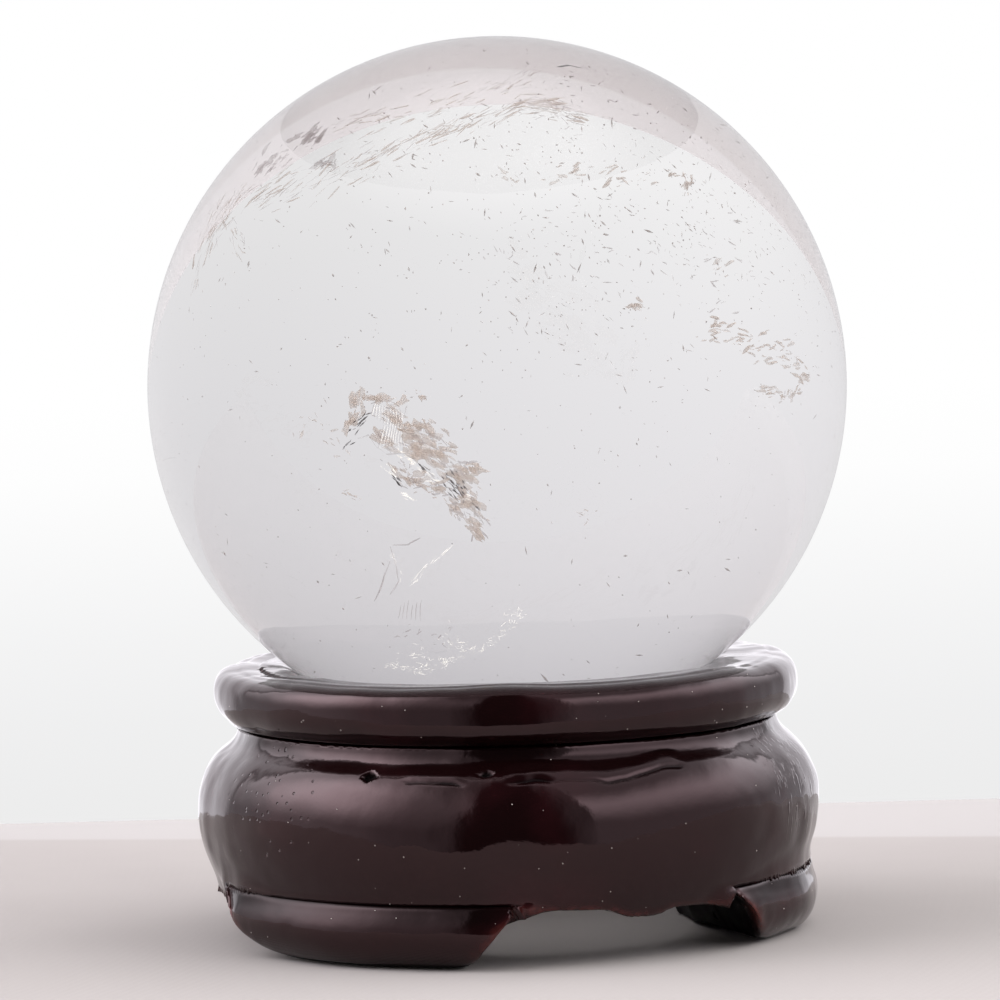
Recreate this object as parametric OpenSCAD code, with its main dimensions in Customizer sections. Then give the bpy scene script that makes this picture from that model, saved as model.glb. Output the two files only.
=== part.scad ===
// Crystal ball on a small round stand of lacquered wood.
// Origin: centre of the stand's footprint on the table, +Z up, front towards -Y.

/* [Ball] */
// Diameter of the ball
ball_d = 80; // [70:1:90]
// Clearance between the ball and its ground seat
seat_gap = 0.15; // [0.1:0.05:0.3]

/* [Stand] */
// Height of the crest of the seat ring above the table
stand_h = 31.1; // [30:0.1:32]
// Radius of the hollow that runs down through the stand
hollow_r = 20.5; // [19:0.5:21.5]

/* [Seat ring] */
// Outside radius of the ring
ring_r = 33.6; // [33:0.1:34]
// Radius of the circle on which the ball rests, at the ring's crest
seat_r = 24.8; // [23:0.1:26]
// Thickness of the ring between its crest and the joint with the drum
ring_t = 6.6; // [6:0.1:7]
// Radius of the spigot that locates the ring in the drum
spigot_r = 24; // [23:0.5:25]
// Depth of the spigot
spigot_h = 5; // [3:0.5:6]

/* [Drum] */
// Largest radius of the drum, at its belly
belly_r = 35.9; // [35.4:0.1:36.5]
// Height of the belly above the table
belly_z = 15.5; // [14.5:0.1:16.5]
// Radius of the shoulder's curve above the belly
shoulder_bend = 8.2; // [7.8:0.1:9]
// Radius of the flank's curve below the belly
flank_bend = 19.3; // [17:0.1:22]
// Radius of the neck under the ring
neck_r = 31.2; // [30.5:0.1:31.5]

/* [Feet] */
// Height of the joint between the feet and the drum
foot_h = 7.2; // [6.8:0.1:7.5]
// Largest radius of a foot's bulged face
foot_r = 35.4; // [35:0.1:36]
// Height of the bulge above the table
foot_bulge_z = 4.2; // [3.8:0.1:4.5]
// Radius of the bulged face's curve
foot_bend = 4.4; // [4:0.1:4.8]

/* [Mouths between the feet] */
// Azimuth of the front mouth, from -Y towards +X; the right one is 120 degrees on
front_azimuth = 23.2; // [18:0.1:28]
// Half width of the front and right mouths at the table
front_w = 16.4; // [15:0.1:17]
// How far each of their sides leans in over the height of a foot
front_lean = 3; // [2:0.1:4]
// Azimuth of the left mouth
left_azimuth = -94; // [-98:0.5:-92]
// Half width of the left mouth at the table
left_w = 22; // [20:0.1:22.5]
// How far each of its sides leans in over the height of a foot
left_lean = 7.4; // [6:0.1:8]
// Height of the arch over a mouth
arch_z = 6.2; // [6:0.1:6.6]
// Lowest point of the apron beside a foot
apron_z = 4.3; // [4:0.1:5]
// Radius of the arch's outer corners
arch_corner = 2.4; // [2:0.1:2.6]
// Radius of the two curves that meet in the arch's middle cusp
cusp_bend = 4; // [3.5:0.5:5]
// Half distance between those two curves
cusp_w = 2.3; // [1.8:0.1:2.6]
// Angle at which one side of each mouth is cut back towards the hollow
mouth_skew = 30; // [20:1:32]

/* [Dowels] */
// Diameter of the dowels that hold a foot
dowel_d = 4; // [3:0.5:5]
// Length of a dowel
dowel_l = 9; // [7:0.5:10]
// Depth of a dowel in its foot
dowel_in_foot = 4; // [3:0.5:4.5]
// Radius at which the dowels stand
dowel_at = 27.5; // [26.5:0.5:28.5]
// Azimuth of the middle of the left foot's pair
left_pair = -31; // [-32:0.5:-30]
// Azimuth of a dowel to each side of the middle of its pair
dowel_spread = 11; // [10:0.5:12]
// Slack around a dowel or spigot, filled with glue
glue_gap = 0.05; // [0.03:0.01:0.1]

/* [Hidden] */
ball_r = ball_d / 2;
joint_z = stand_h - ring_t;
ring_bend = ring_t / 2;
ball_z = stand_h + sqrt(pow(ball_r, 2) - pow(seat_r, 2));
// Azimuth, half width and lean of each mouth, in order round the stand
LEFT_MOUTH = [left_azimuth, left_w, left_lean];
FRONT_MOUTH = [front_azimuth, front_w, front_lean];
RIGHT_MOUTH = [front_azimuth + 120, front_w, front_lean];
MOUTHS = [LEFT_MOUTH, FRONT_MOUTH, RIGHT_MOUTH];
// Each foot's name, the azimuths of the mouths beside it and the middle of its dowels
FEET = [
    ["left", left_azimuth, front_azimuth, left_pair],
    ["right", front_azimuth, front_azimuth + 120, front_azimuth + 60],
    ["back", front_azimuth + 120, left_azimuth + 360, front_azimuth + 180]
];
// Each dowel's letter and the side of the foot that it stands on
DOWELS = [["a", -1], ["b", 1]];
reach = 50;
past = 1;
fn_round = 96;
lacquer = [0.20, 0.05, 0.045];
bare_wood = [0.72, 0.55, 0.36];

// Turns its children so that local -Y points to an azimuth.
module facing(azimuth) {
    rotate([0, 0, azimuth]) children();
}

// Half section of the seat ring: a half-round nose, a flat crest and a spigot below.
module ring_section() {
    translate([ring_r - ring_bend, stand_h - ring_bend])
        circle(r = ring_bend, $fn = fn_round);
    translate([hollow_r, joint_z])
        square([ring_r - ring_bend - hollow_r, ring_t]);
    translate([hollow_r, joint_z - spigot_h])
        square([spigot_r - hollow_r, spigot_h + past]);
}

// Half section of the drum: neck, round shoulder, belly and long flank.
module drum_section() {
    intersection() {
        translate([belly_r - shoulder_bend, belly_z])
            circle(r = shoulder_bend, $fn = fn_round);
        translate([hollow_r, belly_z])
            square([reach, joint_z - belly_z]);
    }
    intersection() {
        translate([belly_r - flank_bend, belly_z])
            circle(r = flank_bend, $fn = fn_round);
        translate([hollow_r, apron_z])
            square([reach, belly_z - apron_z]);
    }
    translate([hollow_r, belly_z - past])
        square([neck_r - hollow_r, joint_z - belly_z + past]);
}

// Half section of a foot: a bulged outer face on a flat sole.
module foot_section() {
    intersection() {
        union() {
            translate([foot_r - foot_bend, foot_bulge_z])
                circle(r = foot_bend, $fn = fn_round);
            translate([hollow_r, 0])
                square([foot_r - foot_bend - hollow_r, foot_h]);
        }
        translate([hollow_r, 0])
            square([reach, foot_h]);
    }
}

// Outline of a mouth, seen from outside: it narrows upwards between two feet.
module mouth_outline(half_w, lean) {
    sill_w = half_w + lean * past / foot_h;
    head_w = half_w - lean * (foot_h + past) / foot_h;
    polygon([[-sill_w, -past], [sill_w, -past], [head_w, foot_h + past], [-head_w, foot_h + past]]);
}

// Outline of the arch cut into the apron over a mouth, with a cusp in the middle.
module arch_outline(half_w, lean) {
    corner_at = half_w - lean - arch_corner;
    intersection() {
        mouth_outline(half_w, lean);
        union() {
            translate([-reach / 2, -past])
                square([reach, arch_z - arch_corner + past]);
            for (side = [0, 1]) mirror([side, 0]) {
                translate([cusp_w, arch_z - cusp_bend])
                    circle(r = cusp_bend, $fn = fn_round);
                translate([corner_at, arch_z - arch_corner])
                    circle(r = arch_corner, $fn = fn_round);
                translate([cusp_w, -past])
                    square([corner_at - cusp_w, arch_z + past]);
            }
        }
    }
}

// Runs an outline outwards from the middle, through the wall at one mouth.
module through_wall() {
    rotate([90, 0, 0]) linear_extrude(reach) children();
}

// Space between two feet, with one side cut back towards the hollow.
module mouth(m) {
    jamb_y = sqrt(pow(foot_r, 2) - pow(m[1], 2));
    facing(m[0]) intersection() {
        through_wall() mouth_outline(m[1], m[2]);
        translate([0, -jamb_y, 0])
            rotate([90, 0, -mouth_skew])
                translate([0, 0, -reach])
                    linear_extrude(2 * reach) mouth_outline(m[1], m[2]);
    }
}

// Places its children at the dowels of one foot.
module at_dowels(foot) {
    for (d = DOWELS) at_dowel(foot, d[1]) children();
}

module at_dowel(foot, side) {
    facing(foot[3] + side * dowel_spread)
        translate([0, -dowel_at, foot_h - dowel_in_foot]) children();
}

module dowel_hole() {
    translate([0, 0, -glue_gap])
        cylinder(d = dowel_d + 2 * glue_gap, h = dowel_l + 2 * glue_gap, $fn = fn_round);
}

// Solid sphere of rock crystal.
module crystal_ball() {
    color([0.93, 0.94, 0.96, 0.35])
        translate([0, 0, ball_z]) sphere(r = ball_r, $fn = fn_round);
}

// Ring that carries the ball, with a seat ground to the ball's curve.
module seat_ring() {
    color(lacquer) difference() {
        rotate_extrude($fn = fn_round) ring_section();
        translate([0, 0, ball_z]) sphere(r = ball_r + seat_gap, $fn = fn_round);
    }
}

// Hollow drum whose apron hangs down between the feet in a cusped arch.
module drum() {
    color(lacquer) difference() {
        rotate_extrude($fn = fn_round) drum_section();
        difference() {
            translate([0, 0, -past]) cylinder(r = reach, h = foot_h + past, $fn = fn_round);
            for (m = MOUTHS) mouth(m);
        }
        for (m = MOUTHS) facing(m[0]) through_wall() arch_outline(m[1], m[2]);
        translate([0, 0, joint_z - spigot_h])
            cylinder(r = spigot_r + glue_gap, h = spigot_h + past, $fn = fn_round);
        for (f = FEET) at_dowels(f) dowel_hole();
    }
}

// One foot: a bulged block under the drum, between two mouths.
module foot(f) {
    color(lacquer) difference() {
        facing(f[1] - 90)
            rotate_extrude(angle = f[2] - f[1], $fn = fn_round) foot_section();
        for (m = MOUTHS) mouth(m);
        at_dowels(f) dowel_hole();
    }
}

// Plain birch dowel, glued half in the foot and half in the drum.
module dowel() {
    color(bare_wood) cylinder(d = dowel_d, h = dowel_l, $fn = fn_round);
}

crystal_ball();
seat_ring();
drum();
for (f = FEET)
    foot(f);
for (f = FEET, d = DOWELS)
    at_dowel(f, d[1]) dowel();
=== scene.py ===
"""Looks for a crystal ball on a small round stand of lacquered wood.

Lengths are in millimetres until a mesh is made. An azimuth is in degrees from -Y towards +X.
"""

import math

import bmesh
import bpy
import numpy as np
from mathutils import Matrix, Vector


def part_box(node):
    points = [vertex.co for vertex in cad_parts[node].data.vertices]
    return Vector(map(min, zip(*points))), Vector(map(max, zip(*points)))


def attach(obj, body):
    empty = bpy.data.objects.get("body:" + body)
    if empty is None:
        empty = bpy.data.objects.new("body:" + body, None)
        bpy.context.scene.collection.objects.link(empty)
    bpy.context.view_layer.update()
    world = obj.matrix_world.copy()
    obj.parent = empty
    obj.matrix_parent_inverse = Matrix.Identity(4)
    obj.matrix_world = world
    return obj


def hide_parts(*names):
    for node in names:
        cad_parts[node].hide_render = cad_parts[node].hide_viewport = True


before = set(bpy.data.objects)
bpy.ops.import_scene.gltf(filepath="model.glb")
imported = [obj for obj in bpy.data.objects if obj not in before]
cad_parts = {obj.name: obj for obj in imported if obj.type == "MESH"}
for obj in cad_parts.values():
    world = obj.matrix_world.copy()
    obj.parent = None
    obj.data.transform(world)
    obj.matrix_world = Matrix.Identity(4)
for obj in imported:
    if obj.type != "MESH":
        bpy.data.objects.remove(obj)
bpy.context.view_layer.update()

MM = 0.001
PER_MM = 1 / MM


# ---------------------------------------------------------------- driving sizes, from the frame

def corner(node, which):
    """Lowest (0) or highest (1) corner of a CAD node, in millimetres."""
    return np.array(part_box(node)[which]) / MM


BALL_R = (corner("crystal_ball", 1)[2] - corner("crystal_ball", 0)[2]) / 2
BALL_Z = corner("crystal_ball", 1)[2] - BALL_R
RING_R = corner("seat_ring", 1)[0]
STAND_H = corner("seat_ring", 1)[2]
JOINT_Z = corner("drum", 1)[2]
BELLY_R = corner("drum", 1)[0]
FOOT_H = corner("foot_left", 1)[2]
RING_BEND = (STAND_H - JOINT_Z) / 2
# Middle of the painted shade in the groove under the ring
NECK_Z = JOINT_Z - 0.9

HOLLOW_R = 20.5
SEAT_GAP = 0.15
NECK_R = 31.2
BELLY_Z = 15.5
SHOULDER_BEND = 8.2
FLANK_BEND = 19.3
FOOT_R = 35.4
FOOT_BULGE_Z = 4.2
FOOT_BEND = 4.4
# Azimuth, half width at the table, lean and bend of the sides of each mouth between two feet
LEFT_MOUTH = (-94.0, 22.2, 7.2, 1.0)
FRONT_MOUTH = (24.2, 17.2, 4.6, 2.3)
RIGHT_MOUTH = (143.2, 16.5, 4.4, 2.3)
MOUTHS = (LEFT_MOUTH, FRONT_MOUTH, RIGHT_MOUTH)
# Each foot's name and the mouths to its left and right
FEET = (
    ("left", LEFT_MOUTH, FRONT_MOUTH),
    ("right", FRONT_MOUTH, RIGHT_MOUTH),
    ("back", RIGHT_MOUTH, LEFT_MOUTH),
)
# Size of the even mesh that each kind of piece is drawn on
RING_VOXEL = 0.3
DRUM_VOXEL = 0.26
FOOT_VOXEL = 0.25
# A distance that stands for nowhere near
FAR = 9.0
MOUTH_SKEW = math.radians(30)
ARCH_Z = 6.0
ARCH_TILT = 0.045
CUSP_DROP = 0.9
CUSP_W = 3.2
CUSP_AT = 1.2
# How far drum and foot lap where the coat fills the joint between them
JOINT_LAP = 0.15
# Bend of the apron's corners, how far it laps behind the ends of the feet, and how low it reaches there
FRONT_APRON = (5.2, 0.5, 2.6)
SIDE_APRON = (2.2, 0.0, 5.0)
# How square the upper outer edge of the ring is: 2 would be round
CREST_POWER = 2.9


# ---------------------------------------------------------------- shapes as signed distances

def smooth_max(a, b, k):
    """The larger of a and b, blended over k millimetres where they're close."""
    h = np.clip(0.5 + 0.5 * (a - b) / k, 0, 1)
    return b + (a - b) * h + k * h * (1 - h)


def smooth_min(a, b, k):
    return -smooth_max(-a, -b, k)


def smooth_step(t):
    t = np.clip(t, 0, 1)
    return t * t * (3 - 2 * t)


def rect(r, z, r0, r1, z0, z1):
    """Distance to a rectangle in the half section."""
    dr = np.abs(r - (r0 + r1) / 2) - (r1 - r0) / 2
    dz = np.abs(z - (z0 + z1) / 2) - (z1 - z0) / 2
    return np.hypot(np.maximum(dr, 0), np.maximum(dz, 0)) + np.minimum(np.maximum(dr, dz), 0)


def disc(r, z, r0, z0, bend):
    return np.hypot(r - r0, z - z0) - bend


def polar(p):
    """Azimuth in degrees, radius and height of points."""
    return np.degrees(np.arctan2(p[:, 0], -p[:, 1])), np.hypot(p[:, 0], p[:, 1]), p[:, 2]


def across(p, azimuth):
    """Sideways offset of points and how far out they lie, seen from outside at an azimuth."""
    a = math.radians(azimuth)
    s = p[:, 0] * math.cos(a) + p[:, 1] * math.sin(a)
    depth = p[:, 0] * math.sin(a) - p[:, 1] * math.cos(a)
    return s, depth


def half_width(mouth, z):
    return mouth[1] - mouth[2] * np.clip(z / FOOT_H, 0, 1.1) ** mouth[3]


def arch_edge(s):
    return ARCH_Z - ARCH_TILT * s - CUSP_DROP * np.exp(-((s - CUSP_AT) / CUSP_W) ** 4)


def towards_sides(p):
    """0 at the front and back, 1 at the sides, where the coat fills the joints."""
    azimuth, _, _ = polar(p)
    return smooth_step((np.abs(azimuth) - 48) / 14) * smooth_step((140 - np.abs(azimuth)) / 14)


def ring_shape(p):
    _, r, z = polar(p)
    nose = disc(r, z, RING_R - RING_BEND, STAND_H - RING_BEND, RING_BEND)
    dr, dz = np.abs(r - RING_R + RING_BEND), np.abs(z - STAND_H + RING_BEND)
    crest = (dr**CREST_POWER + dz**CREST_POWER) ** (1 / CREST_POWER) - RING_BEND
    nose = np.where(z > STAND_H - RING_BEND, crest, nose)
    body = rect(r, z, HOLLOW_R, RING_R - RING_BEND, JOINT_Z, STAND_H)
    d = smooth_min(nose, body, 0.6)
    seat = BALL_R + SEAT_GAP - np.sqrt(r**2 + (z - BALL_Z) ** 2)
    return smooth_max(d, seat, 0.7)


def drum_shape(p):
    _, r, z = polar(p)
    shoulder = disc(r, z, BELLY_R - SHOULDER_BEND, BELLY_Z, SHOULDER_BEND)
    flank = disc(r, z, BELLY_R - FLANK_BEND, BELLY_Z, FLANK_BEND)
    belly = np.where(z > BELLY_Z, shoulder, flank)
    under = FOOT_H - JOINT_LAP * towards_sides(p) - z
    lip = np.full(len(p), FAR)
    fade = np.zeros(len(p))
    for mouth in MOUTHS:
        s, depth = across(p, mouth[0])
        jamb = np.abs(s) - half_width(mouth, z)
        corner_bend, lap, end = FRONT_APRON if mouth is FRONT_MOUTH else SIDE_APRON
        arch = smooth_max(z - arch_edge(s), jamb + 0.4 * lap, corner_bend)
        lip = np.minimum(lip, np.where(depth > 0, np.abs(jamb), FAR))
        apron = np.maximum(jamb - lap, np.maximum(end - z, -depth))
        under = np.minimum(under, np.maximum(apron, -np.where(depth > 0, arch, FAR)))
        fade = np.maximum(fade, np.where(depth > 0, smooth_step(-jamb / 6), 0))
    # The feet's bulge runs on into the apron and dies away
    bulge = disc(r + 2.2 * fade, z, FOOT_R - FOOT_BEND, FOOT_BULGE_Z, FOOT_BEND)
    d = smooth_min(belly, bulge, 0.8 + 1.8 * towards_sides(p))
    d = smooth_min(d, rect(r, z, HOLLOW_R, NECK_R, BELLY_Z - 3, JOINT_Z), 1.6)
    d = smooth_max(d, HOLLOW_R - r, 0.5)
    d = smooth_max(d, z - JOINT_Z, 0.4)
    edge_bend = (0.5 - 0.38 * towards_sides(p)) * (0.25 + 0.75 * smooth_step(lip / 2))
    return smooth_max(d, under, edge_bend)


def foot_shape(left, right):
    """Shape of the foot between two mouths; its right end is cut back towards the hollow."""
    right_jamb = math.sqrt((FOOT_R - 3) ** 2 - right[1] ** 2)

    def shape(p):
        _, r, z = polar(p)
        bulge = disc(r, z, FOOT_R - FOOT_BEND, FOOT_BULGE_Z, FOOT_BEND)
        d = smooth_min(bulge, rect(r, z, HOLLOW_R, FOOT_R - FOOT_BEND, 0, FOOT_H), 0.3)
        d = smooth_min(d, disc(r, z, FOOT_R - 1.45, FOOT_H, 0.55 * towards_sides(p)), 1.5)
        d = smooth_max(d, z - FOOT_H - JOINT_LAP * towards_sides(p), 0.5 - 0.38 * towards_sides(p))
        s, _ = across(p, left[0])
        left_end = smooth_max(half_width(left, z) - s, -z, 3.4)
        s, depth = across(p, right[0])
        cut_back = np.maximum(right_jamb - depth, 0) * math.tan(MOUTH_SKEW)
        right_end = smooth_max(s + half_width(right, z) - cut_back, -z, 1.8)
        return smooth_max(d, np.maximum(left_end, right_end), 0.8 - 0.62 * smooth_step((z - 2) / 2))
    return shape


# ---------------------------------------------------------------- noise for carving

def hashed(i, seed):
    """A repeatable number from -1 to 1 for each lattice point."""
    h = i[:, 0] * 374761393 + i[:, 1] * 668265263 + i[:, 2] * 1442695041 + seed * 974634777
    h = h & 0xFFFFFFFF
    h = ((h ^ (h >> 13)) * 1274126177) & 0xFFFFFFFF
    h = ((h ^ (h >> 16)) * 2246822519) & 0xFFFFFFFF
    return (h ^ (h >> 15)) / 0x7FFFFFFF - 1


def noise(p, wavelength, seed=0):
    """Smooth noise from about -1 to 1 whose bumps are about a wavelength apart."""
    q = p / wavelength
    i = np.floor(q).astype(np.int64)
    f = q - i
    u = f * f * f * (f * (f * 6 - 15) + 10)
    total = np.zeros(len(p))
    for corner_bits in np.ndindex(2, 2, 2):
        c = np.array(corner_bits)
        total += hashed(i + c, seed) * np.prod(np.where(c, u, 1 - u), axis=1)
    return total


def slope(shape, p, h=0.01):
    return np.stack([(shape(p + h * e) - shape(p - h * e)) / (2 * h) for e in np.eye(3)], axis=1)


def settle(shape, p, steps=6):
    """Moves points onto the surface of a shape."""
    for _ in range(steps):
        g = slope(shape, p)
        p = p - (shape(p) / np.maximum((g**2).sum(1), 0.25))[:, None] * g
    return p


# ---------------------------------------------------------------- relief and wear of the lacquer

# Azimuth and height of a fold where the wet coat tore, and of a shorter one to its left
TEAR = ((-1, 20.9), (12, 21.0), (19, 20.6), (25, 20.9), (31, 21.5), (37, 21.5))
SHORT_TEAR = ((-21, 21.2), (-14, 21.0), (-7, 20.7))
# Azimuth, height, half width, half height and depth of the chips
CHIPS = ((-27.3, 21.5, 0.95, 0.5, 0.8), (-4.0, 21.7, 0.9, 0.3, 0.6))


def hand_turned(p):
    """How far, from 0 to 1, the left side is drawn in to meet the outline in the photo."""
    azimuth, r, _ = polar(p)
    return np.exp(-(((azimuth + 90) / 38) ** 2)) * (r > 28)


def brushed_coat(seed, swell):
    """Uneven turning under a thick brushed coat, which ran and wrinkled more at the sides."""
    def relief(p):
        azimuth, _, _ = polar(p)
        sides = 1 + 1.2 * smooth_step((np.abs(azimuth) - 38) / 22)
        drips = noise(p * (1, 1, 0.55), 3.4, seed + 4) * (sides - 1)
        fine = 0.10 * noise(p, 6, seed + 2) + 0.020 * noise(p, 1.9, seed + 3) + 0.035 * drips
        broad = swell * noise(p, 30, seed) + 0.24 * noise(p, 12, seed + 1)
        return broad + (0.35 + 0.65 * sides) * fine - 0.30 * hand_turned(p)
    return relief


def fold(p, path, depth, width):
    """A ragged groove along a path, with a swollen lip above it."""
    azimuth, r, z = polar(p)
    at, height = np.array(path, float).T
    drop = z - np.interp(azimuth, at, height) + 0.12 * noise(p, 1.6, 31)
    along = smooth_step((azimuth - at[0]) / 3) * smooth_step((at[-1] - azimuth) / 3) * (r > 30)
    groove = -depth * np.exp(-((drop / width) ** 2)) * (0.6 + 0.4 * noise(p, 3, 32))
    return along * (groove + 0.5 * depth * np.exp(-(((drop - 3.5 * width) / (2.5 * width)) ** 2)))


def in_chip(p, chip):
    """1 inside a chip, 0 outside."""
    azimuth, r, z = polar(p)
    u = np.radians(azimuth - chip[0]) * r / chip[2]
    v = (z - chip[1]) / chip[3]
    return smooth_step((1.15 - np.abs(u) - np.abs(v)) / 0.35) * (r > 30)


def drum_relief(p):
    h = brushed_coat(5, 0.10)(p) + fold(p, TEAR, 0.26, 0.26) + fold(p, SHORT_TEAR, 0.16, 0.18)
    for chip in CHIPS:
        h = h - chip[4] * in_chip(p, chip)
    return h


def foot_relief(left):
    def relief(p):
        h = brushed_coat(5, 0.10)(p)
        s, _ = across(p, left[0])
        end = np.exp(-(((s - half_width(left, p[:, 2])) / 3.0) ** 2))
        return h + 0.10 * end * noise(p * (1, 1, 0.4), 1.7, 12)
    return relief


def drum_tint(p):
    """1 where the coat is worn thin and red, below 0 at chips and torn folds, and where shade is
    painted: on the inner faces low down and in the groove under the ring.
    """
    _, r, z = polar(p)
    worn = np.zeros(len(p))
    for mouth in MOUTHS:
        s, depth = across(p, mouth[0])
        over_mouth = (depth > 0) & (np.abs(s) < half_width(mouth, z) + 1) & (r > 31)
        worn = np.maximum(worn, over_mouth * np.exp(-(((z - arch_edge(s)) / 0.55) ** 2)))
    worn = worn * (0.6 + 0.4 * noise(p, 1.5, 41))
    tears_chips_and_shade = np.minimum(fold(p, TEAR, 1, 0.2), fold(p, SHORT_TEAR, 1, 0.14))
    # Painted shade: the inner faces below the top of the feet are darkened to near black
    tears_chips_and_shade = np.minimum(tears_chips_and_shade, -smooth_step((31.5 - r) / 1.5) * (z < FOOT_H + 1))
    for chip in CHIPS:
        tears_chips_and_shade = np.minimum(tears_chips_and_shade, -in_chip(p, chip))
    # Painted shade in the groove under the ring
    tears_chips_and_shade = np.minimum(tears_chips_and_shade, -0.25 * np.exp(-(((z - NECK_Z) / 0.8) ** 2)) * (r < 33.2))
    return np.where(tears_chips_and_shade < -0.1, tears_chips_and_shade, worn)


def foot_tint(left, right):
    def tint(p):
        """1 on the worn red edges of the ends, below 0 where shade is painted: on the top under the
        drum's overhang and on the inner faces underneath.
        """
        _, r, z = polar(p)
        s, _ = across(p, left[0])
        worn = np.exp(-(((s - half_width(left, z)) / 0.9) ** 2))
        s, _ = across(p, right[0])
        worn = np.maximum(worn, np.exp(-(((s + half_width(right, z)) / 0.9) ** 2)))
        worn = worn * smooth_step((r - 33.6) / 1.2) * (0.7 + 0.4 * noise(p, 1.3, 42))
        # Painted shade on the top of the foot, where the drum's overhang shades it
        painted_shade_on_top = 0.4 * smooth_step((z - 4.6) / 1.4)
        # Painted shade: the inner faces are darkened to near black
        return worn - np.maximum(smooth_step((34.0 - 1.6 * towards_sides(p) - r) / 0.9), painted_shade_on_top)
    return tint


def no_tint(p):
    return np.zeros(len(p))


# ---------------------------------------------------------------- pieces

def new_object(name, mesh, material, body):
    piece = bpy.data.objects.new(name, mesh)
    bpy.context.scene.collection.objects.link(piece)
    piece.data.materials.clear()
    piece.data.materials.append(material)
    for face in piece.data.polygons:
        face.use_smooth = True
    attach(piece, body)
    return piece


def carve(node, name, shape, relief, tint, voxel, material):
    """Remeshes a CAD node evenly, draws its points onto the shape and adds the relief."""
    rough = bpy.data.objects.new("rough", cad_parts[node].data.copy())
    bpy.context.scene.collection.objects.link(rough)
    remesh = rough.modifiers.new("even", "REMESH")
    remesh.mode = "VOXEL"
    remesh.voxel_size = voxel * MM
    evaluated = rough.evaluated_get(bpy.context.evaluated_depsgraph_get())
    mesh = bpy.data.meshes.new_from_object(evaluated)
    bpy.data.objects.remove(rough)
    co = np.empty(len(mesh.vertices) * 3)
    mesh.vertices.foreach_get("co", co)
    p = settle(shape, co.reshape(-1, 3) / MM)
    g = slope(shape, p)
    g /= np.maximum(np.linalg.norm(g, axis=1), 1e-6)[:, None]
    mesh.attributes.new("tint", "FLOAT", "POINT").data.foreach_set("value", tint(p))
    # The joints and soles stay flat
    flat = smooth_step((np.abs(g[:, 2]) - 0.8) / 0.15) * (p[:, 2] < JOINT_Z + 1)
    p = p + g * (relief(p) * (1 - flat))[:, None]
    p[:, 2] = np.maximum(p[:, 2], 0)
    mesh.vertices.foreach_set("co", (p * MM).ravel())
    mesh.update()
    piece = new_object(name, mesh, material, "stand")
    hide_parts(node)
    return piece


def ball_piece(material):
    bm = bmesh.new()
    bmesh.ops.create_icosphere(bm, subdivisions=7, radius=BALL_R * MM)
    bmesh.ops.translate(bm, verts=bm.verts, vec=(0, 0, BALL_Z * MM))
    mesh = bpy.data.meshes.new("ball")
    bm.to_mesh(mesh)
    bm.free()
    piece = new_object("polished_ball", mesh, material, "ball")
    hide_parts("crystal_ball")
    return piece


# ---------------------------------------------------------------- what the crystal holds

# Places inside the ball are given as (x, up) from its centre; the depth along Y is scattered at random
# or left near zero.

def inside_ball(name, p, faces, material):
    mesh = bpy.data.meshes.new(name)
    mesh.from_pydata(((p + (0, 0, BALL_Z)) * MM).tolist(), [], faces)
    mesh.update()
    return new_object(name, mesh, material, "ball")


OCTAHEDRON = np.array([(1, 0, 0), (-1, 0, 0), (0, 1, 0), (0, -1, 0), (0, 0, 1), (0, 0, -1)], float)
OCTAHEDRON_FACES = (
    (0, 2, 4), (2, 1, 4), (1, 3, 4), (3, 0, 4),
    (2, 0, 5), (1, 2, 5), (3, 1, 5), (0, 3, 5),
)
FLAKE_SIDES = 9
FLAKE_THICKNESS = 0.02


def slivers(name, centres, lengths, widths, angles, material):
    """Small flat crystals, each lying at an angle in the plane across the ball."""
    p = []
    faces = []
    for k, (centre, length, width, angle) in enumerate(zip(centres, lengths, widths, angles)):
        shape = OCTAHEDRON * (length / 2, width / 2, width / 2)
        c, s = math.cos(angle), math.sin(angle)
        x = c * shape[:, 0] - s * shape[:, 2]
        up = s * shape[:, 0] + c * shape[:, 2]
        p.append(np.stack([x, shape[:, 1], up], axis=1) + centre)
        faces += [tuple(len(OCTAHEDRON) * k + v for v in f) for f in OCTAHEDRON_FACES]
    return inside_ball(name, np.concatenate(p), faces, material)


def flakes(name, centres, lengths, widths, angles, material, seed):
    """Thin torn plates with ragged outlines, each lying at an angle in the plane across the ball."""
    rng = np.random.default_rng(seed)
    sides = FLAKE_SIDES
    around = np.linspace(0, 2 * np.pi, sides, endpoint=False)
    p = []
    faces = []
    for centre, length, width, angle in zip(centres, lengths, widths, angles):
        reach = rng.uniform(0.35, 1.0, sides)
        along = reach * np.cos(around) * length / 2
        off = reach * np.sin(around) * width / 2
        off = off + 0.25 * width * np.sin(along * 5 / length)
        x = math.cos(angle) * along - math.sin(angle) * off
        up = math.sin(angle) * along + math.cos(angle) * off
        base = len(p) * sides
        for side in (-1, 1):
            p.append(centre + np.stack([x, 0.2 * x + side * FLAKE_THICKNESS / 2, up], axis=1))
        faces.append(tuple(base + i for i in range(sides)))
        faces.append(tuple(base + sides + i for i in reversed(range(sides))))
        for i in range(sides):
            j = (i + 1) % sides
            faces.append((base + j, base + i, base + sides + i, base + sides + j))
    return inside_ball(name, np.concatenate(p), faces, material)


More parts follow.
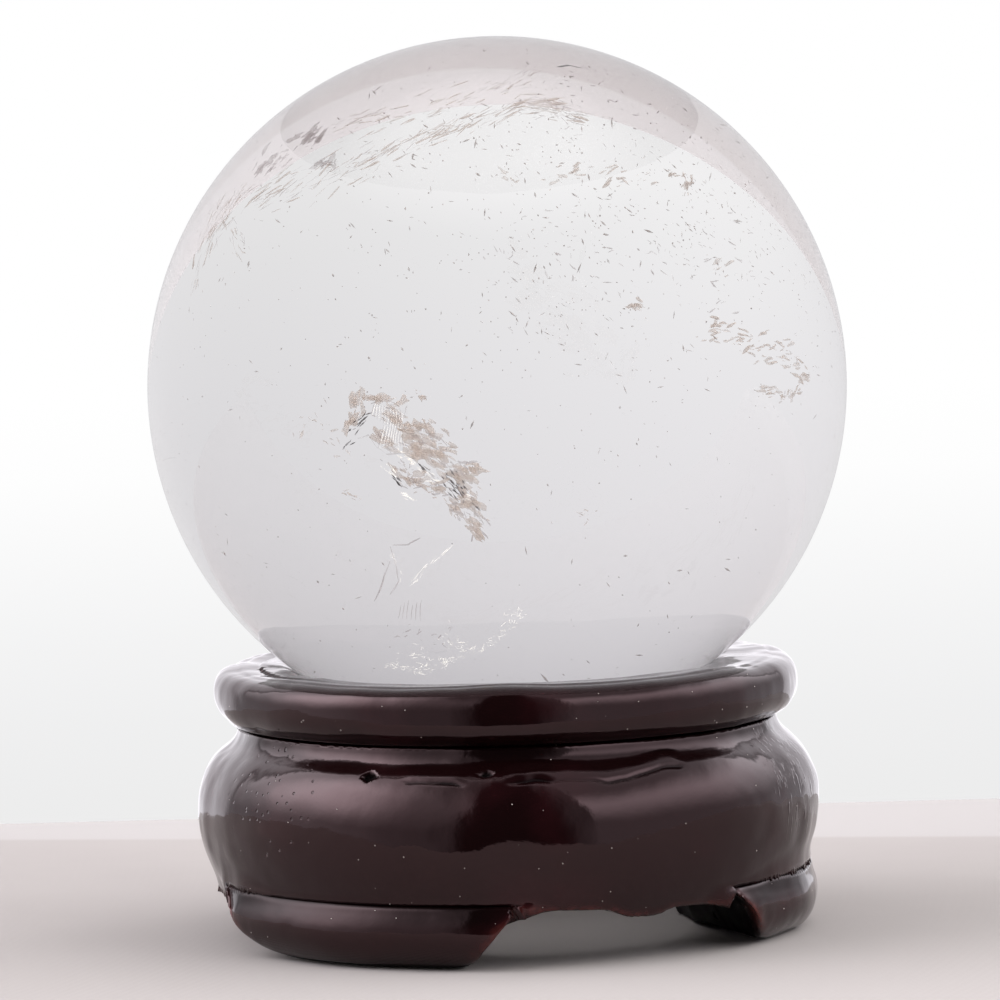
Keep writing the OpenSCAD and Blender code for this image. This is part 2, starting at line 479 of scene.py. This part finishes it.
def torn(name, clusters, length, width, material, seed, wild=16):
    """Flakes over clusters of (x, up, half length, spread, angle, count)."""
    rng = np.random.default_rng(seed)
    centres = np.concatenate([cluster(rng, *c[:5], c[5], depth=0.6) for c in clusters])
    angles = np.concatenate([np.full(c[5], math.radians(c[4])) for c in clusters])
    count = len(centres)
    size = rng.uniform(0.25, 1.0, count) ** 1.5
    angles = angles + np.radians(rng.normal(0, wild, count))
    widths = width * size * rng.uniform(0.5, 1.3, count)
    return flakes(name, centres, length * size, widths, angles, material, seed)


def cluster(rng, x, up, along, spread, angle, count, depth=1.0):
    """Centres scattered along a line at an angle."""
    t, w = rng.uniform(-along, along, count), rng.normal(0, spread, count)
    a = math.radians(angle)
    return np.stack([x + t * math.cos(a) - w * math.sin(a), rng.normal(0, depth, count),
                     up + t * math.sin(a) + w * math.cos(a)], axis=1)


def threads(name, paths, width, material, rounds=10):
    """Hair-fine tapered lines through a few points each."""
    p = []
    faces = []
    for path in paths:
        ends = np.array(path, float)
        t = np.linspace(0, len(ends) - 1, rounds * (len(ends) - 1) + 1)
        x, up = (np.interp(t, np.arange(len(ends)), ends[:, k]) for k in (0, 1))
        wobble = np.stack([x, up, np.zeros(len(t))], axis=1)
        x, up = x + 0.12 * noise(wobble, 1.2, 7), up + 0.12 * noise(wobble, 1.2, 8)
        taper = np.sin(np.pi * np.linspace(0.04, 0.96, len(t))) ** 0.5 * width / 2
        base = sum(len(q) for q in p)
        for dx, dy in ((1, 0), (0, 1), (-1, 0), (0, -1)):
            p.append(np.stack([x + dx * taper, dy * taper, up - dx * taper], axis=1))
        n = len(t)
        for side in range(4):
            a, b = base + side * n, base + (side + 1) % 4 * n
            faces += [(a + i, b + i, b + i + 1, a + i + 1) for i in range(n - 1)]
        faces.append(tuple(base + side * n for side in (3, 2, 1, 0)))
        faces.append(tuple(base + side * n + n - 1 for side in range(4)))
    return inside_ball(name, np.concatenate(p), faces, material)


def centre_fracture(beige, bright, dark, film):
    """The torn fracture in the middle, with a hatched patch, a bright crack and dark slivers."""
    band = (
        (-7.4, -2.3, 1.3, 0.35, -52, 26), (-5.6, -4.4, 1.6, 0.45, -44, 34),
        (-3.4, -7.0, 2.0, 0.6, -55, 44),
    )
    outer = (
        (-4.4, -3.9, 1.4, 0.4, -50, 16), (-2.4, -6.0, 0.9, 0.5, -40, 14),
        (-5.2, -2.9, 0.8, 0.3, -60, 8),
    )
    lower = (
        (-8.3, -3.9, 0.9, 0.2, -50, 12), (-7.0, -6.3, 0.9, 0.35, -70, 14),
        (-5.6, -7.2, 1.4, 0.35, -20, 20),
    )
    tail = (
        (-2.0, -9.4, 1.2, 0.4, -62, 20), (-1.7, -10.9, 0.5, 0.3, -60, 8),
        (-3.3, -9.0, 0.8, 0.3, -70, 8),
    )
    head = (
        (-10.4, -0.7, 0.6, 0.25, 60, 8), (-10.9, -2.3, 0.9, 0.25, 45, 12),
        (-8.2, -0.9, 1.2, 0.1, -12, 12),
    )
    torn("fracture_veil", band + outer + lower + tail + head, 2.1, 1.0, beige, 51, wild=14)
    torn("fracture_film", band + outer + lower + tail, 1.3, 0.26, film, 52, wild=26)
    edge = ((-10.4, -3.6), (-9.6, -3.3), (-9.1, -4.2), (-8.4, -4.9), (-7.4, -4.8), (-6.9, -5.1))
    rim = ((-9.4, -1.1), (-8.4, -0.8), (-7.4, -1.1), (-6.9, -2.2))
    threads("fracture_rim", (edge, rim), 0.12, film)
    hatch = [
        ((-9.5 + 0.21 * k, -2.0 - 0.12 * k), (-9.1 + 0.19 * k, -1.1 - 0.05 * k))
        for k in range(11)
    ]
    hatch += [
        ((-9.0 + 0.24 * k, -4.4 + 0.05 * (k % 3)), (-8.6 + 0.2 * k, -2.6 - 0.08 * k))
        for k in range(9)
    ]
    threads("fracture_hatching", hatch, 0.05, film, rounds=5)
    beside = [[(x + 0.1, up) for x, up in line] for line in hatch]
    threads("bright_hatching", beside, 0.05, bright, rounds=5)
    crack = ((-6.9, -5.1, 0.8, 0.12, -38, 14), (-5.4, -6.4, 0.9, 0.12, -48, 14))
    shards = (
        (-8.3, -5.9, 0.9, 0.15, -58, 12), (-6.7, -8.1, 0.5, 0.12, -30, 8),
        (-2.6, -8.2, 0.6, 0.2, -40, 10),
    )
    torn("bright_crack", crack + shards, 1.1, 0.20, bright, 55)
    rng = np.random.default_rng(3)
    centres = np.concatenate([
        cluster(rng, -10.3, -2.5, 1.1, 0.22, 45, 16), cluster(rng, -11.2, -4.0, 0.6, 0.06, 48, 4),
        cluster(rng, -3.4, -7.2, 1.0, 0.30, -50, 34), cluster(rng, -7.6, -6.9, 0.5, 0.12, -50, 7),
        cluster(rng, -1.8, -8.9, 0.3, 0.08, -45, 4), cluster(rng, -5.8, -5.9, 0.5, 0.1, -45, 4),
    ])
    angles = np.radians(np.concatenate([rng.normal(45, 14, 20), rng.normal(-48, 9, 49)]))
    count = len(centres)
    lengths = rng.uniform(0.25, 0.9, count)
    widths = rng.uniform(0.05, 0.16, count)
    slivers("fracture_slivers", centres, lengths, widths, angles, dark)


def small_bits(beige, bright, dark):
    """Loose bits left of the fracture and the faint figure under it."""
    left = (
        (-15.0, -2.9, 0.9, 0.3, 60, 9), (-13.2, -2.4, 1.2, 0.3, -20, 12),
        (-12.0, -4.2, 1.0, 0.4, -40, 9),
    )
    loose = (
        (-5.8, -0.5, 0.4, 0.12, -60, 7), (6.3, -9.8, 0.7, 0.3, -15, 10),
        (-11.2, -7.8, 0.9, 0.2, -30, 7),
    )
    torn("loose_bits", left + loose, 0.9, 0.28, beige, 61, wild=35)
    arrow = (
        ((-8.3, -11.9), (-8.0, -13.2), (-7.7, -14.6)),
        ((-8.4, -13.0), (-9.0, -14.6), (-9.8, -16.1)),
        ((-7.7, -14.6), (-8.4, -15.6)),
        ((-8.1, -11.8), (-7.0, -11.8), (-6.1, -11.1)),
    )
    threads("faint_figure", arrow, 0.10, dark)
    shine = ((-8.0, -13.0, 0.9, 0.08, -75, 8), (-7.6, -14.4, 0.4, 0.05, 60, 4))
    torn("figure_shine", shine, 0.8, 0.12, bright, 63)
    ticks = [
        ((-8.0 + 0.33 * k, -17.4 - 0.05 * k), (-7.7 + 0.3 * k, -16.3 + 0.2 * (k % 3)))
        for k in range(6)
    ]
    threads("faint_ticks", ticks, 0.05, dark, rounds=5)


def bright_feather(bright, film):
    """The white feathered crack near the bottom and the streak above it."""
    spine = (
        (-8.0, -21.9, 1.3, 0.15, -12, 22), (-5.6, -21.7, 1.2, 0.2, 18, 26),
        (-3.6, -20.7, 1.4, 0.2, 27, 30),
    )
    tip = (
        (-1.6, -19.9, 0.9, 0.15, 28, 16), (-0.1, -18.7, 1.2, 0.25, 42, 16),
        (1.0, -17.4, 0.9, 0.3, 45, 12),
    )
    spray = ((-4.0, -19.4, 1.0, 0.5, -35, 20), (-7.0, -20.7, 1.6, 0.5, 5, 16))
    torn("bright_feather", spine + tip + spray, 0.85, 0.15, bright, 71, wild=34)
    torn("feather_web", spine + tip + spray, 0.5, 0.10, bright, 72, wild=60)
    streak = ((-6.2, -14.1, 0.8, 0.10, 45, 9), (-4.9, -12.9, 1.2, 0.14, 40, 12))
    torn("bright_streak", streak, 1.5, 0.13, bright, 73, wild=7)
    torn("feather_shade", ((-6.0, -18.7, 2.2, 0.7, 0, 26),), 0.9, 0.16, film, 75, wild=50)


def upper_veils(beige, film):
    """The long streaked veil across the top left and the cloudy one on the right."""
    sweep = (
        (-22.5, 15.6, 2.6, 0.7, 38, 34), (-17.0, 16.3, 3.0, 0.8, 14, 34),
        (-11.5, 17.6, 3.0, 0.7, 22, 34),
    )
    rise = ((-6.4, 19.2, 3.6, 0.35, 20, 44), (-0.6, 21.4, 3.6, 0.35, 21, 44))
    knot = ((3.9, 22.6, 1.6, 0.5, -8, 28), (6.3, 21.9, 1.6, 0.5, -24, 28))
    upper = (
        (-9.0, 22.3, 4.6, 0.7, 8, 26), (-1.0, 23.9, 4.0, 0.6, 18, 26),
        (2.0, 25.6, 2.0, 0.4, 38, 12),
    )
    web = (
        (-23.6, 14.6, 2.4, 0.9, 70, 26), (-20.9, 12.6, 2.0, 0.5, -60, 12),
        (-24.8, 10.5, 2.4, 0.5, 80, 12),
    )
    torn("upper_veil", sweep + rise + knot + upper + web, 2.6, 0.32, beige, 81, wild=9)
    torn("upper_lines", sweep + rise + knot + upper + web, 2.0, 0.10, film, 82, wild=14)
    torn("knot_lines", knot + ((5.2, 22.2, 2.2, 0.5, -12, 14),), 1.2, 0.20, film, 83, wild=40)
    patch = (
        (-18.6, 19.6, 1.8, 0.6, 22, 26), (-15.2, 20.9, 1.5, 0.6, 24, 26),
        (-13.1, 18.2, 0.8, 0.3, 20, 12),
    )
    torn("mauve_patch", patch, 2.2, 0.9, film, 85, wild=20)
    cloud = (
        (17.4, 3.6, 2.0, 0.5, -22, 30), (21.4, 2.2, 2.2, 0.7, -12, 46),
        (24.6, 0.6, 1.4, 0.5, -50, 24),
    )
    hem = ((21.6, -1.1, 1.4, 0.3, -20, 18), (23.8, -1.1, 1.0, 0.3, 30, 12))
    faint = (
        (12.0, 16.2, 4.0, 0.4, 4, 24), (15.7, 15.8, 1.0, 0.3, 70, 14),
        (5.4, 16.0, 1.6, 0.4, 20, 12),
    )
    dots = (
        (10.7, 5.9, 0.5, 0.3, -45, 8), (1.3, 16.0, 0.7, 0.3, -50, 8), (17.5, 8.8, 0.7, 0.3, 10, 8),
    )
    torn("right_veil", cloud + hem + faint + dots, 1.6, 0.55, beige, 91, wild=22)
    haze = (
        (9.0, 11.0, 5.0, 2.2, -40, 40), (17.0, 9.0, 5.0, 2.2, -30, 46),
        (2.0, 9.0, 4.0, 2.0, -60, 24),
    )
    torn("right_haze", haze, 1.1, 0.22, film, 95, wild=35)



def specks(material):
    """Fine specks all through the upper half, thickest at the upper right."""
    rng = np.random.default_rng(11)
    p = rng.uniform(-1, 1, (60000, 3)) * (BALL_R - 2)
    inside = np.linalg.norm(p, axis=1) < BALL_R - 2
    rightness = smooth_step((p[:, 0] + 24) / 48)
    height = smooth_step((p[:, 2] + 8) / 22)
    thick = 0.015 + height * (0.05 + 0.36 * rightness) * (0.5 + 0.9 * noise(p, 6, 13))
    p = p[inside & (rng.uniform(0, 1, len(p)) < thick)]
    p[:, 1] *= 0.6
    count = len(p)
    lengths = 0.12 + 0.6 * rng.uniform(0, 1, count) ** 4
    widths = rng.uniform(0.05, 0.14, count)
    slivers("specks", p, lengths, widths, rng.normal(-0.9, 0.7, count), material)


def inclusions():
    # Painted light: the veils, specks and film emit their own colours
    beige = veil_material("beige_veil", (0.53, 0.44, 0.39), 0.50, painted_glow=0.42)
    bright = veil_material("bright_veil", (1.0, 0.97, 0.92), 0.55, painted_glow=0.55)
    dark = veil_material("dark_sliver", (0.055, 0.025, 0.030), 0.95)
    dust = veil_material("speck", (0.30, 0.22, 0.19), 0.55, painted_glow=0.2)
    film = veil_material("mauve_film", (0.36, 0.29, 0.29), 0.34, painted_glow=0.35)
    centre_fracture(beige, bright, dark, film)
    small_bits(beige, bright, film)
    bright_feather(bright, film)
    upper_veils(beige, film)
    specks(dust)
    threads("needle", [((5.9, 27.7), (7.0, 28.2), (8.2, 27.9))], 0.2, dark)


# ---------------------------------------------------------------- materials

def new_material(name):
    m = bpy.data.materials.new(name)
    m.use_nodes = True
    return m, m.node_tree, m.node_tree.nodes["Principled BSDF"]


def feed(tree, socket, value):
    """Links a socket, or sets a number or colour."""
    if isinstance(value, bpy.types.NodeSocket):
        tree.links.new(value, socket)
    else:
        socket.default_value = value


def calc(tree, operation, a, b=0.0, clamp=False):
    math_node = tree.nodes.new("ShaderNodeMath")
    math_node.operation = operation
    math_node.use_clamp = clamp
    feed(tree, math_node.inputs[0], a)
    feed(tree, math_node.inputs[1], b)
    return math_node.outputs[0]


def span(tree, value, low, high, start=0.0, end=1.0, kind="SMOOTHSTEP"):
    """Turns a value from low to high into one from start to end, and clamps it."""
    range_node = tree.nodes.new("ShaderNodeMapRange")
    range_node.interpolation_type = kind
    for index, number in enumerate((value, low, high, start, end)):
        feed(tree, range_node.inputs[index], number)
    return range_node.outputs[0]


def place(tree):
    return tree.nodes.new("ShaderNodeTexCoord").outputs["Object"]


def cloud(tree, where, wavelength, detail=2.0, stretch=(1, 1, 1)):
    """Noise from 0 to 1 whose bumps are a wavelength of so many millimetres apart."""
    scaled = tree.nodes.new("ShaderNodeVectorMath")
    scaled.operation = "MULTIPLY"
    feed(tree, scaled.inputs[0], where)
    scaled.inputs[1].default_value = [PER_MM / wavelength * k for k in stretch]
    noise_node = tree.nodes.new("ShaderNodeTexNoise")
    feed(tree, noise_node.inputs["Vector"], scaled.outputs[0])
    noise_node.inputs["Scale"].default_value = 1.0
    noise_node.inputs["Detail"].default_value = detail
    return noise_node.outputs["Fac"]


def cells(tree, where, wavelength):
    """Distance to the nearest scattered point, in wavelengths, and a random colour for each."""
    voronoi = tree.nodes.new("ShaderNodeTexVoronoi")
    feed(tree, voronoi.inputs["Vector"], where)
    voronoi.inputs["Scale"].default_value = PER_MM / wavelength
    return voronoi.outputs["Distance"], voronoi.outputs["Color"]


def near(tree, where, centre, inner, outer):
    """1 within inner millimetres of a point, falling to 0 at outer."""
    gap = tree.nodes.new("ShaderNodeVectorMath")
    gap.operation = "DISTANCE"
    feed(tree, gap.inputs[0], where)
    gap.inputs[1].default_value = [c * MM for c in centre]
    return span(tree, gap.outputs["Value"], inner * MM, outer * MM, 1.0, 0.0)


def blend(tree, amount, a, b):
    mix = tree.nodes.new("ShaderNodeMix")
    mix.data_type = "RGBA"
    feed(tree, mix.inputs["Factor"], amount)
    feed(tree, mix.inputs["A"], a)
    feed(tree, mix.inputs["B"], b)
    return mix.outputs["Result"]


def bump(tree, height, distance, normal=None):
    """Bump whose height, from 0 to 1, stands for so many millimetres."""
    bump_node = tree.nodes.new("ShaderNodeBump")
    bump_node.inputs["Distance"].default_value = distance * MM
    feed(tree, bump_node.inputs["Height"], height)
    if normal:
        feed(tree, bump_node.inputs["Normal"], normal)
    return bump_node.outputs["Normal"]


DARK_LACQUER = (0.0065, 0.0017, 0.0019, 1)
RED_LACQUER = (0.019, 0.0036, 0.0048, 1)
WORN_LACQUER = (0.10, 0.022, 0.018, 1)
# Near black, for bare chips and for painted shade
BARE_CHIP_AND_SHADE = (0.002, 0.0015, 0.0015, 1)
DUST = (0.55, 0.50, 0.46, 1)


def lacquer():
    m, tree, shader = new_material("oxblood_lacquer")
    where = place(tree)
    tint = tree.nodes.new("ShaderNodeAttribute")
    tint.attribute_name = "tint"
    patchy = span(tree, cloud(tree, where, 0.9, 3), 0.3, 0.7, 0.35, 1.0)
    worn = calc(tree, "MULTIPLY", tint.outputs["Fac"], patchy)
    worn = calc(tree, "MAXIMUM", worn, 0.0, clamp=True)
    # Below 0 the tint marks real chips and torn folds and also painted shade; there the coat is
    # darkened, roughened and made less shiny
    chipped_and_shaded = calc(tree, "MULTIPLY", tint.outputs["Fac"], -1.6, clamp=True)
    spot, spot_colour = cells(tree, where, 1.3)
    chosen = span(tree, spot_colour, 0.60, 0.62)
    dust = calc(tree, "MULTIPLY", span(tree, spot, 0.045, 0.07, 1.0, 0.0), chosen)
    redness = span(tree, cloud(tree, where, 11, 3), 0.48, 0.80)
    colour = blend(tree, redness, DARK_LACQUER, RED_LACQUER)
    colour = blend(tree, worn, colour, WORN_LACQUER)
    colour = blend(tree, chipped_and_shaded, colour, BARE_CHIP_AND_SHADE)
    feed(tree, shader.inputs["Base Color"], blend(tree, dust, colour, DUST))

    gloss = span(tree, cloud(tree, where, 6, 3), 0.35, 0.75, 0.03, 0.10, "LINEAR")
    gloss = calc(tree, "ADD", gloss, calc(tree, "MULTIPLY", worn, 0.22))
    matt = calc(tree, "MAXIMUM", dust, span(tree, chipped_and_shaded, 0.7, 1))
    gloss = calc(tree, "ADD", gloss, calc(tree, "MULTIPLY", matt, 0.5))
    feed(tree, shader.inputs["Roughness"], gloss)
    shine = span(tree, chipped_and_shaded, 0, 1, 0.5, 0.12, "LINEAR")
    feed(tree, shader.inputs["Specular IOR Level"], shine)
    shader.inputs["IOR"].default_value = 1.46
    shader.inputs["Specular Tint"].default_value = (1, 0.70, 0.72, 1)

    pitted = near(tree, where, (-26.5, -22.0, 19.0), 5.0, 8.5)
    pit, pit_colour = cells(tree, where, 0.9)
    pits = span(tree, pit, 0.12, 0.24, 1.0, 0.0)
    pits = calc(tree, "MULTIPLY", pits, span(tree, pit_colour, 0.45, 0.47))
    scuffed = near(tree, where, (32.0, -12.5, 18.5), 4.0, 9.0)
    scuffs = span(tree, cloud(tree, where, 0.55, 2, (1, 1, 0.22)), 0.55, 0.75)
    normal = bump(tree, cloud(tree, where, 0.8, 3), 0.012)
    normal = bump(tree, calc(tree, "MULTIPLY", pits, pitted), -0.14, normal)
    normal = bump(tree, calc(tree, "MULTIPLY", scuffs, scuffed), 0.05, normal)
    normal = bump(tree, dust, 0.06, normal)
    feed(tree, shader.inputs["Normal"], normal)
    return m


def crystal():
    """Clear quartz, polished, with the faintest smears and tint."""
    m, tree, shader = new_material("rock_crystal")
    where = place(tree)
    colour = blend(tree, cloud(tree, where, 30), (1, 0.998, 0.996, 1), (0.985, 0.985, 0.992, 1))
    feed(tree, shader.inputs["Base Color"], colour)
    shader.inputs["Roughness"].default_value = 0
    feed(tree, shader.inputs["Normal"], bump(tree, cloud(tree, where, 9, 1), 0.002))
    shader.inputs["Transmission Weight"].default_value = 1
    shader.inputs["IOR"].default_value = 1.544
    return m


def veil_material(name, colour, strength, painted_glow=0.0):
    """Thin fracture film: patchy and see-through, and lit by painted light: it emits its own colour."""
    m, tree, shader = new_material(name)
    where = place(tree)
    pale = tuple(1 - 0.8 * (1 - c) for c in colour) + (1,)
    mottled = blend(tree, cloud(tree, where, 1.6, 3), (*colour, 1), pale)
    feed(tree, shader.inputs["Base Color"], mottled)
    veiled = span(tree, cloud(tree, where, 1.8, 2), 0.3, 0.7, 0.35 * strength, strength)
    feed(tree, shader.inputs["Alpha"], veiled)
    shader.inputs["Roughness"].default_value = 0.6
    shader.inputs["Specular IOR Level"].default_value = 0.1
    # Painted light: the film emits its own colour, standing in for light reaching it through the
    # crystal
    shader.inputs["Emission Color"].default_value = (*colour, 1)
    shader.inputs["Emission Strength"].default_value = painted_glow
    return m


def bare_wood():
    """Birch: fine rays along the dowel and a soft mottle."""
    m, tree, shader = new_material("birch_dowel")
    where = place(tree)
    grain = cloud(tree, where, 0.5, 4, (1, 1, 0.06))
    colour = blend(tree, grain, (0.40, 0.25, 0.13, 1), (0.66, 0.48, 0.30, 1))
    feed(tree, shader.inputs["Base Color"], colour)
    feed(tree, shader.inputs["Roughness"], span(tree, cloud(tree, where, 2), 0.3, 0.7, 0.5, 0.75))
    feed(tree, shader.inputs["Normal"], bump(tree, grain, 0.03))
    return m


def cloth():
    """Pale tablecloth in plain weave."""
    m, tree, shader = new_material("pale_cloth")
    where = place(tree)
    axes = tree.nodes.new("ShaderNodeSeparateXYZ")
    feed(tree, axes.inputs[0], where)
    threads_per_m = 2 * math.pi * PER_MM / THREAD
    warp = calc(tree, "SINE", calc(tree, "MULTIPLY", axes.outputs["X"], threads_per_m / 2))
    weft = calc(tree, "SINE", calc(tree, "MULTIPLY", axes.outputs["Y"], threads_per_m / 2))
    weave = span(tree, calc(tree, "MULTIPLY", warp, weft), -1.0, 1.0, 0.0, 1.0, "LINEAR")
    soft = cloud(tree, where, 25, 3)
    ground = blend(tree, soft, (0.425, 0.388, 0.380, 1), (0.470, 0.434, 0.422, 1))
    # Two areas of painted light: lighter past a slanting line behind the stand, where the shade of the
    # stand and ball ends, and lighter towards the front
    askew = calc(tree, "MULTIPLY", axes.outputs["X"], PAINTED_LIGHT_SLANT)
    beyond = calc(tree, "ADD", axes.outputs["Y"], askew)
    painted_light_behind = span(tree, beyond, 0.078, 0.081)
    ground = blend(tree, painted_light_behind, ground, (0.510, 0.482, 0.477, 1))
    painted_light_in_front = span(tree, beyond, -0.06, 0.04, 1.0, 0.0)
    ground = blend(tree, painted_light_in_front, ground, (0.500, 0.462, 0.450, 1))
    gaps = calc(tree, "MULTIPLY", weave, 0.22)
    feed(tree, shader.inputs["Base Color"], blend(tree, gaps, ground, (0.35, 0.32, 0.31, 1)))
    shader.inputs["Roughness"].default_value = 0.9
    shader.inputs["Specular IOR Level"].default_value = 0.1
    feed(tree, shader.inputs["Normal"], bump(tree, weave, 0.05))
    return m


# ---------------------------------------------------------------- stage, light and camera

# The table: how far back and how far to the front it reaches, and half its length
TABLE_EDGE = 107.0
TABLE_FRONT = -80.0
TABLE_HALF = 2000
# Width of one thread of its cloth, and how far the edge of the painted light behind the stand slants
THREAD = 0.46
PAINTED_LIGHT_SLANT = 0.17
# Camera: distance, height, tilt down and roll in radians, focal length and width of the sensor.
# The fitted turn to the side, 0.0006, is left out, so the ball stands about 0.5 mm too far left.
CAMERA_AWAY = 750.75
CAMERA_UP = 108.0
CAMERA_PITCH = 0.0779
CAMERA_ROLL = -0.0255
LENS = 236.4
SENSOR = 36


def studio_camera():
    data = bpy.data.cameras.new("camera")
    data.sensor_width = SENSOR
    data.lens = LENS
    data.clip_start = 0.01
    camera = bpy.data.objects.new("camera", data)
    bpy.context.scene.collection.objects.link(camera)
    tilt = Matrix.Rotation(math.pi / 2 - CAMERA_PITCH, 4, "X")
    turn = tilt @ Matrix.Rotation(CAMERA_ROLL, 4, "Z")
    camera.matrix_world = Matrix.Translation((0, -CAMERA_AWAY * MM, CAMERA_UP * MM)) @ turn
    bpy.context.scene.camera = camera


def table():
    mesh = bpy.data.meshes.new("table")
    edge = TABLE_EDGE * MM
    front = TABLE_FRONT * MM
    end = TABLE_HALF * MM
    corners = [(-end, front, 0), (end, front, 0), (end, edge, 0), (-end, edge, 0)]
    mesh.from_pydata(corners, [], [(0, 1, 2, 3)])
    piece = bpy.data.objects.new("table", mesh)
    bpy.context.scene.collection.objects.link(piece)
    piece.data.materials.append(cloth())


def window(tree, value, low, high, soft):
    rise = span(tree, value, low - soft, low + soft)
    return calc(tree, "MULTIPLY", rise, span(tree, value, high - soft, high + soft, 1.0, 0.0))


def tinted(tree, strength, colour):
    """A colour, or a colour socket, times a number or socket."""
    scaled = tree.nodes.new("ShaderNodeVectorMath")
    scaled.operation = "MULTIPLY"
    feed(tree, scaled.inputs[0], colour)
    feed(tree, scaled.inputs[1], strength)
    return scaled.outputs[0]


def shades(tree, elevation, stops):
    """A grey that follows stops of (elevation, colour)."""
    ramp = tree.nodes.new("ShaderNodeValToRGB")
    feed(tree, ramp.inputs[0], span(tree, elevation, -90, 90, 0.0, 1.0, "LINEAR"))
    while len(ramp.color_ramp.elements) < len(stops):
        ramp.color_ramp.elements.new(0.5)
    for element, (degrees, colour) in zip(ramp.color_ramp.elements, stops):
        element.position = (degrees + 90) / 180
        element.color = (*colour, 1)
    return ramp.outputs[0]


def times(tree, *values):
    """Product of numbers or sockets, taken from the left."""
    total = values[0]
    for value in values[1:]:
        total = calc(tree, "MULTIPLY", total, value)
    return total


def panel_light(tree, azimuth, elevation, aside):
    """What glossy surfaces reflect: a tall panel at each side, a dim front and a white back and top."""
    left_rise = times(
        tree,
        span(tree, elevation, 0, 36, 0.12, 1.0),
        span(tree, elevation, 48, 68, 1.0, 0.32),
    )
    right_rise = times(
        tree,
        span(tree, elevation, 4, 36, 0.12, 1.0),
        span(tree, elevation, 34, 54, 1.0, 0.15),
    )
    slanted_edge = calc(tree, "ADD", elevation, azimuth)
    left = times(
        tree,
        window(tree, azimuth, -128, -20, 2),
        span(tree, azimuth, -85, -32, 6.0, 0.75),
        span(tree, azimuth, -122, -92, 0.42, 1.0),
        span(tree, slanted_edge, 8, 35, 1.0, 0.25),
        left_rise,
    )
    right = times(
        tree,
        window(tree, azimuth, 31, 135, 2),
        span(tree, azimuth, 50, 105, 2.6, 3.0),
        right_rise,
    )
    top = span(tree, elevation, 72, 86, 0.0, 0.6)
    back = calc(tree, "SUBTRACT", 1.0, window(tree, azimuth, -132, 138, 6))
    panels = calc(tree, "ADD", calc(tree, "ADD", left, right), calc(tree, "ADD", top, back))
    panels = calc(tree, "ADD", panels, span(tree, aside, 14, 30, 0.04, 0.5))
    return tinted(tree, panels, (1.0, 0.975, 1.03))


def matt_light(tree, azimuth, elevation, aside):
    """What matt surfaces are lit by: soft light from above and from both sides."""
    beside = times(
        tree,
        window(tree, aside, 45, 135, 12),
        window(tree, elevation, 12, 56, 10),
        span(tree, azimuth, -20, 20, 1.5, 3.4),
    )
    overhead = times(
        tree,
        span(tree, elevation, 40, 76, 0.42, 1.6),
        span(tree, aside, 10, 70, 0.5, 1.0),
    )
    return calc(tree, "ADD", overhead, beside)


def seen_room(tree, elevation):
    """The white room behind the object, greyer below the edge of the table."""
    return shades(tree, elevation, (
        (-90, (0.84, 0.84, 0.84)),
        (-7.2, (0.84, 0.84, 0.84)),
        (-6.0, (0.875, 0.875, 0.88)),
        (-4.0, (1.0, 1.0, 1.0)),
        (90, (1.0, 1.0, 1.0)),
    ))


def room_through_ball(tree, elevation, x):
    """The room that rays through the ball end in, a little darker to the right."""
    through = shades(tree, elevation, (
        (-90, (0.90, 0.89, 0.885)),
        (-32, (0.89, 0.885, 0.885)),
        (-20, (0.845, 0.84, 0.845)),
        (-4, (0.80, 0.79, 0.805)),
        (12, (0.755, 0.74, 0.76)),
        (35, (0.67, 0.65, 0.675)),
        (52, (0.60, 0.58, 0.61)),
        (68, (1.5, 1.47, 1.5)),
    ))
    return tinted(tree, span(tree, x, -0.6, 0.7, 1.03, 0.90), through)


def studio_light():
    """A white studio. Each kind of ray gets its own light, worked out from its direction."""
    world = bpy.data.worlds.new("studio")
    bpy.context.scene.world = world
    world.use_nodes = True
    tree = world.node_tree
    axes = tree.nodes.new("ShaderNodeSeparateXYZ")
    feed(tree, axes.inputs[0], tree.nodes.new("ShaderNodeTexCoord").outputs["Generated"])
    x, y, z = axes.outputs
    to_degrees = 180 / math.pi
    elevation = times(tree, calc(tree, "ARCSINE", z), to_degrees)
    azimuth = times(tree, calc(tree, "ARCTAN2", x, times(tree, y, -1.0)), to_degrees)
    aside = calc(tree, "ABSOLUTE", azimuth)
    panels = panel_light(tree, azimuth, elevation, aside)
    matt = matt_light(tree, azimuth, elevation, aside)
    through = room_through_ball(tree, elevation, x)

    path = tree.nodes.new("ShaderNodeLightPath")
    after_matt = calc(tree, "MINIMUM", path.outputs["Diffuse Depth"], 1.0)
    light = blend(tree, path.outputs["Is Diffuse Ray"], panels, matt)
    light = blend(tree, path.outputs["Is Singular Ray"], light, through)
    light = blend(tree, path.outputs["Is Transmission Ray"], light, through)
    light = blend(tree, after_matt, light, matt)
    light = blend(tree, path.outputs["Is Camera Ray"], light, seen_room(tree, elevation))
    feed(tree, tree.nodes["Background"].inputs["Color"], light)
    bpy.context.scene.view_settings.view_transform = "Standard"


studio_camera()
table()
studio_light()
coat = lacquer()
carve("seat_ring", "ring_lacquered", ring_shape, brushed_coat(1, 0.12), no_tint, RING_VOXEL, coat)
carve("drum", "drum_lacquered", drum_shape, drum_relief, drum_tint, DRUM_VOXEL, coat)
for side, left, right in FEET:
    shape = foot_shape(left, right)
    relief = foot_relief(left)
    tint = foot_tint(left, right)
    carve(f"foot_{side}", f"foot_{side}_lacquered", shape, relief, tint, FOOT_VOXEL, coat)
ball_piece(crystal())
inclusions()
birch = bare_wood()
for name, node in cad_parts.items():
    if name.startswith("dowel"):
        node.data.materials.clear()
        node.data.materials.append(birch)
